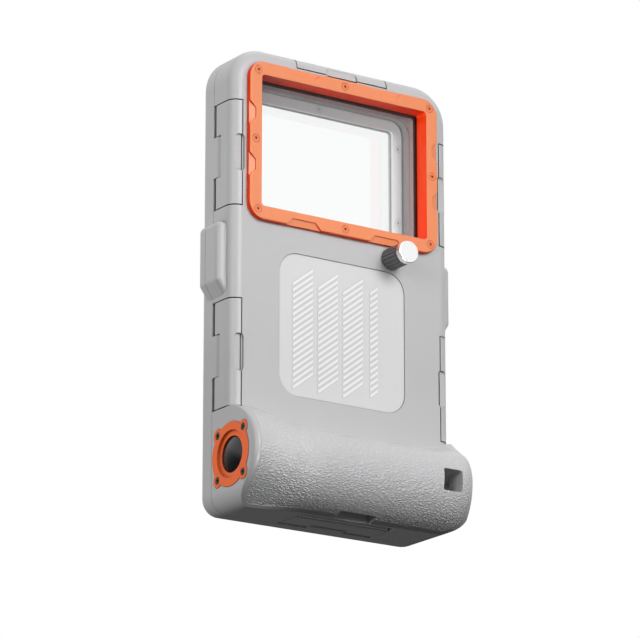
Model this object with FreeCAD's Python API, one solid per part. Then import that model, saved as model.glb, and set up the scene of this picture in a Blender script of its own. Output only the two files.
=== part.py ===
import FreeCAD
import Part
import math
import os

from FreeCAD import Vector

# Hard diving housing for a phone, standing on the flat base of its hand grip.
# Frame: X across the case, Y through it, Z up. The working origin is the middle of the base edge
# of the window face, so the window side is at negative Y and the screen side at positive Y.
# The finished solids are moved along Y so that the origin is the middle of the whole box.

# Shell, in two halves that part at a plane
SHELL_WIDTH = 114.0
SHELL_HEIGHT = 206.0
BACK_DEPTH = 14.8
COVER_DEPTH = 9.0
SEAM = 0.2
TOP_CORNER = 16.5
BASE_CORNER_LEFT = 7.5
BASE_CORNER_RIGHT = 13.0
FACE_EDGE = 5.0
COVER_EDGE = 3.0
FACE_WALL = 3.0

# Dry space for the phone
CAVITY_SIDE_WALL = 11.0
CAVITY_LOW = 11.0
CAVITY_TOP_WALL = 12.0
CAVITY_CORNER = 8.0
RIB_THICKNESS = 1.4
RIB_HEIGHT = 2.4
RIB_END_GAP = 1.0
RIB_LOWEST = 52.0
RIB_COUNT = 4

# Camera window in its screwed frame
WINDOW_SIDE = 13.5
WINDOW_TOP = 12.85
WINDOW_HEIGHT = 59.5
WINDOW_CORNER = 1.6
FRAME_BAND = 6.0
FRAME_PROUD = 2.4
FRAME_EDGE = 0.6
SLEEVE_WALL = 1.3
SLEEVE_DEPTH = 4.9
SLEEVE_PLAY = 0.1
GLASS_THICKNESS = 1.6
WINDOW_SEAL_THICKNESS = 0.6
LEDGE_WIDTH = 2.4
LEDGE_THICKNESS = 1.2
WELL_WALL = 2.8
FACET_STEP = 0.5
FACET_FALL = 0.6
FACET_BEVEL = 1.0
FACET_LONG = (11.5, 31.5)
FACET_SHORT = (5.5, 18.0)

# Hex-socket screws of the window frame, and the smaller ones used everywhere else
FRAME_SCREW_HEAD = 1.7
FRAME_SCREW_SHANK = 1.0
FRAME_SCREW_LENGTH = 6.5
FRAME_SCREW_INSET = 1.2
SMALL_SCREW_HEAD = 1.5
SMALL_SCREW_SHANK = 0.8
SMALL_SCREW_LENGTH = 4.6
SCREW_HEAD_HEIGHT = 1.0
HEX_RADIUS = 0.75
HEX_DEPTH = 0.7
HEAD_PLAY = 0.15

# Vent knob under the window frame
VENT_X = 25.4
KNOB_RADIUS = 4.9
KNOB_LIFT = 0.4
KNOB_SLEEVE = 10.0
KNOB_NECK = 1.0
KNOB_NECK_RADIUS = 4.1
KNOB_CAP = 2.7
KNOB_CAP_RADIUS = 5.0
KNOB_CAP_EDGE = 0.4
KNOB_FRAME_GAP = 0.65
KNOB_LABEL_GAP = 0.9
KNOB_FLUTES = 18
KNOB_FLUTE_RADIUS = 0.45
VENT_STEM = 2.0
VENT_PLAY = 0.05
VENT_BOSS = 5.0
VENT_BOSS_HEIGHT = 3.4
VENT_SEAT_DEPTH = 1.2
VENT_SEAL_WIRE = 0.6
VENT_STOP_RADIUS = 3.2
VENT_STOP_THICKNESS = 1.2
VENT_STOP_GAP = 0.3

# Label field between the knob and the grip
LABEL_HALF_WIDTH = 32.8
LABEL_GRIP_GAP = 12.2
LABEL_CORNER = 9.5
LABEL_RECESS = 0.8
LABEL_THICKNESS = 0.5
LABEL_PLAY = 0.15

# Snap latches, hinged on the cover and hooked over the window-side edge
LATCH_LENGTH = 47.0
LATCH_THICKNESS = 2.8
LATCH_LIP = 1.6
LATCH_GAP = 0.3
LATCH_SEAM = 0.5
HOOK_GAP = 0.4
BARREL_RADIUS = 2.5
EAR_LENGTH = 14.0
PIN_RADIUS = 0.9
PIN_PLAY = 0.05
PIN_END = 1.0
UPPER_LATCH_DROP = 49.3
NOTCH_LENGTH = 16.5
NOTCH_INNER = 1.3
NOTCH_OUTER = 2.9
NOTCH_CORNER = 1.6
NOTCH_DEPTH = 1.0
BOTTOM_NOSE = 0.8

# Side swells between the latches
SWELL_LATCH_GAP = 2.4
SWELL_LENGTH = 32.5
SWELL_PROUD = 4.0
SWELL_FRONT = 4.5
SWELL_REAR = 20.5
SWELL_TAPER = 6.0
SWELL_ROUND = 2.6

# Hand grip across the foot of the window side. Its outlines run from foot to crown as (reach from
# the window face, height over the base): the run of the grip, its left end and its right end.
GRIP_RUN = [
    (7.0, 0.0), (14.4, 3.6), (20.4, 10.4), (23.4, 20.0), (21.6, 28.6),
    (16.0, 34.0), (9.0, 36.0), (3.4, 37.0), (0.8, 38.0), (0.0, 40.2),
]
GRIP_LEFT_END = [
    (2.5, 0.0), (9.0, 5.2), (15.5, 12.2), (19.0, 20.6), (18.5, 28.4),
    (15.6, 34.8), (11.6, 38.8), (7.4, 41.2), (3.4, 42.9), (0.0, 43.8),
]
GRIP_RIGHT_END = [
    (7.0, 0.0), (14.4, 3.6), (20.6, 10.6), (23.4, 20.0), (22.6, 27.6),
    (19.0, 33.2), (14.0, 36.8), (8.6, 39.7), (3.6, 42.2), (0.0, 43.6),
]
GRIP_LEFT_FLARE = (11.0, 29.0)
GRIP_RIGHT_FLARE = (0.0, 13.0)
GRIP_LEFT_ROUND = 3.0
GRIP_RIGHT_ROUND = 13.5
GRIP_ROLL_SOFTNESS = 0.45
GRIP_ROOT_GAP = 0.5
GRIP_LATCH_GAP = 0.3
GRIP_SAMPLES = 17
GRIP_ROWS = 15
SKIN_THICKNESS = 1.6
SKIN_LEFT_GAP = 3.0
SKIN_RIGHT_GAP = 6.2
SKIN_LOW = 1.2
SKIN_BACK = -2.5
BAY_END_WALL = 15.0
BAY_LOW = 15.0
BAY_HIGH = 32.6
BAY_WALL = 3.2
LANYARD_END = 10.8
LANYARD_WIDTH = 9.7
LANYARD_LOW = 15.5
LANYARD_HIGH = 25.1
LANYARD_BACK = -2.6
LANYARD_POST = 10.0
LANYARD_BAY_WALL = 2.5
LANYARD_CORNER = 1.0
FINGER_HALF_WIDTH = 9.2
FINGER_REACH = 12.0
FINGER_RIM = 0.9
FINGER_DEPTH = 4.6
SLOT_REACH = 4.6

# Shutter button in the left end of the grip
SHUTTER_HEIGHT = 22.4
BEZEL_RADIUS = 13.9
BEZEL_THICKNESS = 2.2
BEZEL_PROUD = 0.2
BEZEL_RIM = 3.6
BEZEL_STEP = 1.0
BEZEL_PLAY = 0.1
EAR_CIRCLE = 13.7
EAR_RADIUS = 3.1
BUTTON_RADIUS = 7.5
BUTTON_PLAY = 0.4
BUTTON_PROUD = 0.4
BUTTON_DOME = 1.6
SKIRT_EXTRA = 1.2
SKIRT_THICKNESS = 1.5
SKIRT_GAP = 0.3
BUTTON_TRAVEL = 1.5
POCKET_DEPTH = 6.0
STEM_RADIUS = 2.5
STEM_PLAY = 0.05
STEM_INSIDE = 1.0
SPRING_RADIUS = 6.0
SPRING_WIRE = 0.35
SPRING_TURNS = 3
ORING_WIRE = 0.75
ORING_SEAT = 1.7

# Wireless shutter board in the grip
BOARD_FRONT = -5.6
BOARD_THICKNESS = 1.2
BOARD_LENGTH = 40.0
BOARD_MARGIN = 0.6
SWITCH_SIZE = 6.0
SWITCH_BUTTON = 1.5
SWITCH_BUTTON_PROUD = 0.5
SWITCH_GAP = 0.3
CELL_RADIUS = 7.5
CELL_THICKNESS = 3.2
CELL_REACH = 24.0
BOARD_POST = 1.8
LID_THICKNESS = 1.4
LID_OVERLAP = 3.4
LID_CORNER = 7.4

# Screen side: touch film in the cover
FILM_SIDE = 17.5
FILM_LOW = 35.0
FILM_TOP = 17.0
FILM_CORNER = 1.5
FILM_THICKNESS = 0.4
FILM_LAP = 1.9
SCREEN_WALL = 3.5
SCREEN_BEVEL = 1.8
CLAMP_THICKNESS = 1.4
CLAMP_BAND = 4.8
CLAMP_SIDE_SCREWS = 5
CLAMP_SCREW_END = 8.0
CLAMP_SCREW_GAP = 0.05
GASKET_WIDTH = 2.4
GASKET_DEPTH = 2.0
GASKET_INSET = 1.6

# Foam that centres the phone
PAD_THICKNESS = 5.0
PAD_FRONT = 7.0
PAD_BACK = 14.0
PAD_LOW = 42.0
PAD_TOP_GAP = 5.45
REST_HALF_WIDTH = 30.0
REST_HEIGHT = 13.0
REST_FRONT = 6.2
REST_BACK = 18.2

# Derived places: shell and dry space
HALF_WIDTH = SHELL_WIDTH / 2
SHELL_DEPTH = BACK_DEPTH + COVER_DEPTH
BACK_RIM = BACK_DEPTH - SEAM
CAVITY_HALF_WIDTH = HALF_WIDTH - CAVITY_SIDE_WALL
CAVITY_HIGH = SHELL_HEIGHT - CAVITY_TOP_WALL
RIB_HALF_LENGTH = CAVITY_HALF_WIDTH - PAD_THICKNESS - RIB_END_GAP

# Derived places: window, knob and label, from the top of the shell down to the grip
GRIP_REACH = max(reach for reach, height in GRIP_RUN)
GRIP_HEIGHT = GRIP_RUN[-1][1]
ORIGIN_SHIFT = (GRIP_REACH - SHELL_DEPTH) / 2
WINDOW_WIDTH = SHELL_WIDTH - 2 * WINDOW_SIDE
WINDOW_HIGH = SHELL_HEIGHT - WINDOW_TOP
WINDOW_LOW = WINDOW_HIGH - WINDOW_HEIGHT
WINDOW_MIDDLE = (WINDOW_LOW + WINDOW_HIGH) / 2
GLASS_BACK = SLEEVE_DEPTH + GLASS_THICKNESS
LEDGE_FRONT = GLASS_BACK + WINDOW_SEAL_THICKNESS
LEDGE_BACK = LEDGE_FRONT + LEDGE_THICKNESS
WELL_GROWTH = SLEEVE_WALL + SLEEVE_PLAY + WELL_WALL
WELL_LOW = WINDOW_LOW - WELL_GROWTH
RIB_PITCH = (WELL_LOW - RIB_LOWEST) / (RIB_COUNT + 1)
PAD_HIGH = WELL_LOW - PAD_TOP_GAP
VENT_Z = WINDOW_LOW - FRAME_BAND - KNOB_FRAME_GAP - KNOB_CAP_RADIUS
LABEL_HIGH = VENT_Z - KNOB_CAP_RADIUS - KNOB_LABEL_GAP
LABEL_LOW = GRIP_HEIGHT + LABEL_GRIP_GAP

# Derived places: latches and swells
PIVOT_Y = BACK_DEPTH - BARREL_RADIUS - LATCH_GAP
LATCH_POCKET = 2 * BARREL_RADIUS + LATCH_GAP
UPPER_LATCH = SHELL_HEIGHT - UPPER_LATCH_DROP
LOWER_LATCH = GRIP_LEFT_END[-1][1] + GRIP_LATCH_GAP + LATCH_LENGTH / 2
SWELL_LOW = LOWER_LATCH + LATCH_LENGTH / 2 + SWELL_LATCH_GAP
SWELL_HIGH = SWELL_LOW + SWELL_LENGTH

# Derived places: grip, bay and shutter, the shutter's depths counted inwards from the grip's end
LANYARD_RIGHT = HALF_WIDTH - LANYARD_END
LANYARD_LEFT = LANYARD_RIGHT - LANYARD_WIDTH
BAY_LEFT = -HALF_WIDTH + BAY_END_WALL
BAY_RIGHT = LANYARD_LEFT - LANYARD_BAY_WALL
BOARD_BACK = BOARD_FRONT + BOARD_THICKNESS
BEZEL_SEAT = BEZEL_THICKNESS - BEZEL_PROUD
SKIRT_FRONT = BEZEL_SEAT + SKIRT_GAP
SKIRT_BACK = SKIRT_FRONT + SKIRT_THICKNESS
POCKET_FLOOR = BEZEL_SEAT + POCKET_DEPTH
BUTTON_HOLE = BUTTON_RADIUS + BUTTON_PLAY
SKIRT_RADIUS = BUTTON_RADIUS + SKIRT_EXTRA
POCKET_RADIUS = SKIRT_RADIUS + BUTTON_PLAY
BORE_RADIUS = STEM_RADIUS + STEM_PLAY
STEM_END = BAY_LEFT + STEM_INSIDE
SWITCH_FACE = STEM_END + BUTTON_TRAVEL + SWITCH_GAP
LID_BACK = FACE_WALL + LID_THICKNESS

# Derived places: screen side
SCREEN_INNER = SHELL_DEPTH - SCREEN_WALL
FILM_INNER = SCREEN_INNER - FILM_THICKNESS
CLAMP_INNER = FILM_INNER - CLAMP_THICKNESS
FILM_HALF_WIDTH = HALF_WIDTH - FILM_SIDE
FILM_HIGH = SHELL_HEIGHT - FILM_TOP


def box(x0, x1, y0, y1, z0, z1):
    """Block between two corners."""
    return Part.makeBox(x1 - x0, y1 - y0, z1 - z0, Vector(x0, y0, z0))


def plate(x0, x1, z0, z1, radii, y0, y1):
    """Plate in XZ from y0 to y1, its corner radii given anticlockwise from the upper right."""
    upper_right, upper_left, lower_left, lower_right = radii

    def arc(cx, cz, radius, start):
        points = []
        for turn in (start, start + 45, start + 90):
            angle = math.radians(turn)
            points.append(Vector(cx + radius * math.cos(angle), y0, cz + radius * math.sin(angle)))
        return Part.Arc(*points).toShape()

    arcs = [
        arc(x1 - upper_right, z1 - upper_right, upper_right, 0),
        arc(x0 + upper_left, z1 - upper_left, upper_left, 90),
        arc(x0 + lower_left, z0 + lower_left, lower_left, 180),
        arc(x1 - lower_right, z0 + lower_right, lower_right, 270),
    ]
    edges = []
    for here, after in zip(arcs, arcs[1:] + arcs[:1]):
        edges.append(here)
        edges.append(Part.makeLine(here.Vertexes[-1].Point, after.Vertexes[0].Point))
    return Part.Face(Part.Wire(edges)).extrude(Vector(0, y1 - y0, 0))


def window_plate(grow, y0, y1):
    """Plate of the window opening, grown outwards on every side."""
    half = WINDOW_WIDTH / 2 + grow
    corners = [WINDOW_CORNER + max(grow, 0)] * 4
    return plate(-half, half, WINDOW_LOW - grow, WINDOW_HIGH + grow, corners, y0, y1)


def cavity_plate(grow, y0, y1):
    """Plate of the dry space, grown outwards on every side."""
    half = CAVITY_HALF_WIDTH + grow
    corners = [CAVITY_CORNER + grow] * 4
    return plate(-half, half, CAVITY_LOW - grow, CAVITY_HIGH + grow, corners, y0, y1)


def film_plate(grow, y0, y1):
    """Plate of the screen opening, grown outwards on every side."""
    half = FILM_HALF_WIDTH + grow
    corners = [FILM_CORNER + grow] * 4
    return plate(-half, half, FILM_LOW - grow, FILM_HIGH + grow, corners, y0, y1)


def shell_plate(y0, y1):
    """Plate of the shell's whole outline."""
    corners = [TOP_CORNER, TOP_CORNER, BASE_CORNER_LEFT, BASE_CORNER_RIGHT]
    return plate(-HALF_WIDTH, HALF_WIDTH, 0, SHELL_HEIGHT, corners, y0, y1)


def rod_y(radius, x, z, y0, y1):
    """Round bar along Y."""
    return Part.makeCylinder(radius, y1 - y0, Vector(x, y0, z), Vector(0, 1, 0))


def prism(points, along):
    """Prism over a closed polygon, swept by a vector."""
    wire = Part.makePolygon(points + points[:1])
    return Part.Face(wire).extrude(along)


def fillet_where(shape, radius, test):
    """Round every edge whose middle passes the test."""
    edges = [edge for edge in shape.Edges if test(edge.CenterOfMass)]
    return shape.makeFillet(radius, edges)


def at(shape, x, y, z):
    """Copy of a shape moved to a place."""
    moved = shape.copy()
    moved.translate(Vector(x, y, z))
    return moved


def mirrored(shape):
    """The shape's mirror image across the middle of the case."""
    return shape.mirror(Vector(0, 0, 0), Vector(1, 0, 0))


def screw(head, shank, length):
    """Hex-socket screw along +Y with the top of its head at the origin."""
    body = rod_y(head, 0, 0, 0, SCREW_HEAD_HEIGHT)
    body = body.fuse(rod_y(shank, 0, 0, SCREW_HEAD_HEIGHT, length))
    corners = []
    for k in range(6):
        turn = math.radians(60 * k)
        corners.append(Vector(HEX_RADIUS * math.cos(turn), -1, HEX_RADIUS * math.sin(turn)))
    return body.cut(prism(corners, Vector(0, 1 + HEX_DEPTH, 0)))


def screw_hole(head, shank, length):
    """Seat and bore for a screw drawn by the function above."""
    return rod_y(head + HEAD_PLAY, 0, 0, -1, SCREW_HEAD_HEIGHT).fuse(rod_y(shank, 0, 0, 0, length))


def inner_screw():
    """Small screw driven from the dry space towards the window side."""
    turned = screw(SMALL_SCREW_HEAD, SMALL_SCREW_SHANK, SMALL_SCREW_LENGTH)
    turned.rotate(Vector(0, 0, 0), Vector(0, 0, 1), 180)
    return turned


# Where each latch sits: name, turn about Y that takes +X to its outward side, its middle, and the
# rounding of its outer edge, which is small where the grip stands in front of it
LATCH_PLACES = [
    ("right_upper", 0, Vector(HALF_WIDTH, 0, UPPER_LATCH), FACE_EDGE),
    ("right_lower", 0, Vector(HALF_WIDTH, 0, LOWER_LATCH), FACE_EDGE),
    ("left_upper", 180, Vector(-HALF_WIDTH, 0, UPPER_LATCH), FACE_EDGE),
    ("left_lower", 180, Vector(-HALF_WIDTH, 0, LOWER_LATCH), FACE_EDGE),
    ("top", -90, Vector(0, 0, SHELL_HEIGHT), FACE_EDGE),
    ("bottom", 90, Vector(0, 0, 0), BOTTOM_NOSE),
]


def seat(shape, turn, middle):
    """Bring a piece drawn for the +X side, outer face at X = 0, to one of the latch places."""
    placed = shape.copy()
    placed.rotate(Vector(0, 0, 0), Vector(0, 1, 0), turn)
    placed.translate(middle)
    return placed


def latch_bar(radius, length):
    """Round bar on the hinge axis of a latch drawn for the +X side."""
    return Part.makeCylinder(radius, length, Vector(-BARREL_RADIUS, PIVOT_Y, -length / 2))


def latch_body(edge):
    """Latch plate: outer edge rounded by a radius, bevelled hook inside, hinge ears at both ends."""
    round_start = Vector(-edge, 0, 0)
    shrink = edge * (1 - math.sin(math.pi / 4))
    round_middle = Vector(-shrink, shrink, 0)
    round_end = Vector(0, edge, 0)
    corners = [
        round_end,
        Vector(0, PIVOT_Y, 0),
        Vector(-LATCH_THICKNESS, PIVOT_Y, 0),
        Vector(-LATCH_THICKNESS, LATCH_LIP + FACE_EDGE - LATCH_THICKNESS, 0),
        Vector(-FACE_EDGE, LATCH_LIP, 0),
    ]
    if edge < FACE_EDGE:
        corners.append(Vector(-FACE_EDGE, 0, 0))
    corners.append(round_start)
    edges = [Part.Arc(round_start, round_middle, round_end).toShape()]
    for first, second in zip(corners, corners[1:]):
        edges.append(Part.makeLine(first, second))
    section = Part.Face(Part.Wire(edges))
    section.translate(Vector(0, 0, -LATCH_LENGTH / 2))
    body = section.extrude(Vector(0, 0, LATCH_LENGTH)).fuse(latch_bar(BARREL_RADIUS, LATCH_LENGTH))
    room = LATCH_LENGTH / 2 - EAR_LENGTH
    body = body.cut(box(-LATCH_POCKET, 1, PIVOT_Y - BARREL_RADIUS - LATCH_GAP, BACK_DEPTH, -room, room))
    body = body.cut(notch())
    return body.cut(latch_bar(PIN_RADIUS + PIN_PLAY, LATCH_LENGTH - 2 * PIN_END)).removeSplitter()


def notch():
    """Shallow finger notch across the edge of the latch's lip and the shell beside it."""
    inner = -FACE_EDGE - NOTCH_INNER
    outer = -FACE_EDGE + NOTCH_OUTER
    half = NOTCH_LENGTH / 2
    return plate(inner, outer, -half, half, [NOTCH_CORNER] * 4, -1, NOTCH_DEPTH)


def latch_pocket():
    """Room in the shell for one latch and its hinge, with the bevel that the hook grips."""
    inner = -FACE_EDGE - LATCH_SEAM
    outer = SWELL_PROUD + 1
    shoulder = -LATCH_THICKNESS - LATCH_GAP
    lip_floor = LATCH_LIP + HOOK_GAP
    barrel_front = PIVOT_Y - BARREL_RADIUS - 2 * LATCH_GAP
    section = [
        (inner, -1),
        (inner, lip_floor),
        (shoulder, lip_floor + shoulder - inner),
        (shoulder, barrel_front),
        (-LATCH_POCKET, barrel_front),
        (-LATCH_POCKET, BACK_DEPTH + 1),
        (outer, BACK_DEPTH + 1),
        (outer, -1),
    ]
    length = LATCH_LENGTH + 2 * LATCH_SEAM
    points = [Vector(out, depth, -length / 2) for out, depth in section]
    return prism(points, Vector(0, 0, length))


def knuckle():
    """Hinge knuckle that the cover reaches forward between a latch's ears."""
    length = LATCH_LENGTH - 2 * EAR_LENGTH - 2 * LATCH_GAP
    web = box(-2 * BARREL_RADIUS, 0, PIVOT_Y, BACK_DEPTH + 1, -length / 2, length / 2)
    return latch_bar(BARREL_RADIUS, length).fuse(web).cut(latch_bar(PIN_RADIUS, length + 2))


def swell(y0, y1):
    """Side swell on the right wall between two depths."""
    top = HALF_WIDTH + SWELL_PROUD
    inside = HALF_WIDTH - 2
    points = [
        Vector(inside, SWELL_FRONT, SWELL_LOW),
        Vector(HALF_WIDTH, SWELL_FRONT, SWELL_LOW),
        Vector(top, SWELL_FRONT, SWELL_LOW + SWELL_TAPER),
        Vector(top, SWELL_FRONT, SWELL_HIGH),
        Vector(inside, SWELL_FRONT, SWELL_HIGH),
    ]
    body = prism(points, Vector(0, SWELL_REAR - SWELL_FRONT, 0))
    body = fillet_where(body, SWELL_ROUND, lambda middle: middle.x > HALF_WIDTH + 0.5)
    return body.common(box(0, top + 1, y0, y1, 0, SHELL_HEIGHT))


def grip_row(x, inset, end_inset):
    """Evenly spaced points of the grip's outline at a place across the case, foot to crown."""
    from_left = x + HALF_WIDTH
    from_right = HALF_WIDTH - x
    if from_left < from_right:
        end_outline = GRIP_LEFT_END
        full, start = GRIP_LEFT_FLARE
        share = (start - from_left) / (start - full)
    else:
        end_outline = GRIP_RIGHT_END
        full, start = GRIP_RIGHT_FLARE
        share = (start - from_right) / (start - full)
    share = min(max(share, 0.0), 1.0)
    share = share * share * (3 - 2 * share)
    outline = []
    for (reach, height), (end_reach, end_height) in zip(GRIP_RUN, end_outline):
        outline.append((reach + (end_reach - reach) * share, height + (end_height - height) * share))
    widest = max(reach for reach, height in outline)
    shrink = (widest - end_inset) / widest
    curve = Part.BSplineCurve()
    curve.interpolate([Vector(x, -reach * shrink, height) for reach, height in outline])
    row = curve.discretize(GRIP_SAMPLES)
    moved = [row[0]]
    for before, point, after in zip(row, row[1:], row[2:]):
        push = Vector(0, after.z - before.z, before.y - after.y)
        push.normalize()
        moved.append(point + push * inset)
    return moved + [row[-1]]


def grip_surface(inset):
    """Smooth outer face of the grip, rolled inwards at both ends and then inset all over."""
    rows = []
    for side, radius in ((-1, GRIP_LEFT_ROUND), (1, GRIP_RIGHT_ROUND)):
        soft = radius * GRIP_ROLL_SOFTNESS
        roll = [(side * (HALF_WIDTH - soft), 0.0), (side * HALF_WIDTH, soft), (side * HALF_WIDTH, radius)]
        rows.append(roll)
    low = -HALF_WIDTH + GRIP_LEFT_ROUND
    high = HALF_WIDTH - GRIP_RIGHT_ROUND
    step = (high - low) / (GRIP_ROWS - 1)
    middle = [(low + k * step, 0.0) for k in range(GRIP_ROWS)]
    steps = [k / (GRIP_SAMPLES - 1) for k in range(GRIP_SAMPLES)]
    poles = []
    for x, end_inset in rows[0][::-1] + middle + rows[1]:
        curve = Part.BSplineCurve()
        curve.interpolate(Points=grip_row(x, inset, end_inset), Parameters=steps)
        poles.append(curve.getPoles())
    count = len(poles)
    repeats = [4] + [1] * (count - 4) + [4]
    knots = [float(k) for k in range(count - 2)]
    surface = Part.BSplineSurface()
    surface.buildFromPolesMultsKnots(poles, repeats, curve.getMultiplicities(), knots,
                                     curve.getKnots(), False, False, 3, curve.Degree)
    return surface.toShape()


def side_face(curve, corners):
    """Flat face between a curved edge and straight lines through the given corners."""
    lines = [Part.makeLine(first, second) for first, second in zip(corners, corners[1:])]
    return Part.Face(Part.Wire(Part.sortEdges([curve] + lines)[0]))


def grip_solid(inset):
    """Grip from its outer face back to a root just short of the flat of the shell's sides."""
    skin = grip_surface(inset)
    root_y = FACE_EDGE - GRIP_ROOT_GAP
    across = sorted(skin.Edges, key=lambda edge: edge.CenterOfMass.x)
    left, right = across[0], across[-1]
    low, high = sorted(across[1:-1], key=lambda edge: edge.CenterOfMass.z)
    root_curve = high.Curve.copy()
    for k, pole in enumerate(root_curve.getPoles()):
        root_curve.setPole(k + 1, Vector(pole.x, root_y, pole.z))
    root_rim = root_curve.toShape()
    faces = [skin, Part.makeRuledSurface(high, root_rim)]
    root_feet = []
    for end in (left, right):
        foot, crown = sorted((vertex.Point for vertex in end.Vertexes), key=lambda point: point.z)
        root_foot = Vector(foot.x, root_y, foot.z)
        root_crown = Vector(crown.x, root_y, crown.z)
        faces.append(side_face(end, [crown, root_crown, root_foot, foot]))
        root_feet.append((foot, root_foot, root_crown))
    (foot_left, base_left, crown_left), (foot_right, base_right, crown_right) = root_feet
    faces.append(side_face(low, [foot_left, base_left, base_right, foot_right]))
    faces.append(side_face(root_rim, [crown_left, base_left, base_right, crown_right]))
    shell = Part.makeShell(faces)
    shell.sewShape()
    solid = Part.makeSolid(Part.makeShell(shell.Faces))
    if solid.Volume < 0:
        solid.reverse()
    return solid


def skin_zone():
    """Everything outside the skin's inner face and inside its borders."""
    left = -HALF_WIDTH + SKIN_LEFT_GAP
    right = HALF_WIDTH - SKIN_RIGHT_GAP
    corners = [1, 1, BASE_CORNER_LEFT - SKIN_LEFT_GAP, BASE_CORNER_RIGHT - SKIN_RIGHT_GAP]
    zone = plate(left, right, SKIN_LOW, 2 * GRIP_HEIGHT, corners, -2 * GRIP_REACH, SKIN_BACK)
    return zone.cut(grip_solid(SKIN_THICKNESS))


def lanyard_passage():
    """L-shaped way for a strap, in at the grip's front and out at its right end."""
    front = plate(LANYARD_LEFT, LANYARD_RIGHT, LANYARD_LOW, LANYARD_HIGH, [LANYARD_CORNER] * 4,
                  -2 * GRIP_REACH, LANYARD_BACK)
    side = box(LANYARD_LEFT + LANYARD_CORNER, HALF_WIDTH + 1, -GRIP_REACH + LANYARD_POST, LANYARD_BACK,
               LANYARD_LOW + LANYARD_CORNER, LANYARD_HIGH - LANYARD_CORNER)
    return front.fuse(side)


def finger_recess():
    """Slot in the base in front of the bottom latch, and the finger recess that leads to it."""
    half = FINGER_HALF_WIDTH
    reach = box(-half, half, -FINGER_REACH, -SLOT_REACH - FINGER_RIM, -1, FINGER_DEPTH)
    half = LATCH_LENGTH / 2 + LATCH_SEAM
    slot = box(-half, half, -SLOT_REACH, 1, -1, FACE_EDGE + LATCH_SEAM)
    return reach.fuse(slot)


def on_left_end(shape):
    """Bring a piece drawn along +Y, outer face at Y = 0, onto the grip's left end."""
    placed = shape.copy()
    placed.rotate(Vector(0, 0, 0), Vector(0, 0, 1), -90)
    placed.translate(Vector(-HALF_WIDTH, 0, SHUTTER_HEIGHT))
    return placed


def bezel_screw_places():
    """Middles of the four bezel screws in the bezel's own plane."""
    reach = EAR_CIRCLE * math.cos(math.pi / 4)
    return [(sx * reach, sz * reach) for sx in (-1, 1) for sz in (-1, 1)]


def frame_screw_places():
    """Middles of the eight window frame screws, those at the corners set further in."""
    side = (WINDOW_WIDTH + FRAME_BAND) / 2
    rise = (WINDOW_HEIGHT + FRAME_BAND) / 2
    places = [(0, WINDOW_MIDDLE - rise), (0, WINDOW_MIDDLE + rise), (-side, WINDOW_MIDDLE), (side, WINDOW_MIDDLE)]
    side -= FRAME_SCREW_INSET
    rise -= FRAME_SCREW_INSET
    return places + [(x, WINDOW_MIDDLE + z) for x in (-side, side) for z in (-rise, rise)]


def lid_screw_places():
    """Middles of the four bay lid screws, those at the ends clear of the button's stem."""
    middle_x = (BAY_LEFT + BAY_RIGHT) / 2
    end_z = SHUTTER_HEIGHT + STEM_RADIUS + 2 * SMALL_SCREW_HEAD
    edge = LID_OVERLAP / 2
    return [
        (BAY_LEFT - edge, end_z),
        (BAY_RIGHT + edge, end_z),
        (middle_x, BAY_LOW - edge),
        (middle_x, BAY_HIGH + edge),
    ]


def clamp_screw_places():
    """Middles of the film clamp's screws: a row down each side and one at top and bottom."""
    out = FILM_LAP + SMALL_SCREW_SHANK + CLAMP_SCREW_GAP
    low = FILM_LOW + CLAMP_SCREW_END
    step = (FILM_HIGH - FILM_LOW - 2 * CLAMP_SCREW_END) / (CLAMP_SIDE_SCREWS - 1)
    places = []
    for side in (-1, 1):
        for k in range(CLAMP_SIDE_SCREWS):
            places.append((side * (FILM_HALF_WIDTH + out), low + k * step))
    return places + [(0, FILM_LOW - out), (0, FILM_HIGH + out)]


def back_shell():
    """Window-side half of the housing with the core of its grip."""
    shell = fillet_where(shell_plate(0, BACK_RIM), FACE_EDGE, lambda middle: middle.y < 0.01)
    grip = grip_solid(0).common(shell_plate(-2 * GRIP_REACH, BACK_RIM)).cut(skin_zone())
    shell = shell.fuse(grip)
    right = swell(0, BACK_RIM)
    shell = shell.fuse([right, mirrored(right)])
    shell = shell.cut(cavity_plate(0, FACE_WALL, BACK_DEPTH))
    shell = shell.fuse(inner_walls())
    shell = shell.cut(shell_openings())
    return shell.removeSplitter()


def inner_walls():
    """Window well, vent boss, stiffening ribs and board posts inside the shell."""
    well = window_plate(WELL_GROWTH, FACE_WALL - 1, LEDGE_BACK)
    well = well.cut(window_plate(0, FACE_WALL - 2, LEDGE_BACK + 1))
    boss = rod_y(VENT_BOSS, VENT_X, VENT_Z, FACE_WALL - 1, FACE_WALL + VENT_BOSS_HEIGHT)
    walls = [well, boss]
    for k in range(RIB_COUNT):
        low = RIB_LOWEST + k * RIB_PITCH
        walls.append(box(-RIB_HALF_LENGTH, RIB_HALF_LENGTH, FACE_WALL - 1, FACE_WALL + RIB_HEIGHT,
                         low, low + RIB_THICKNESS))
    return walls


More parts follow.
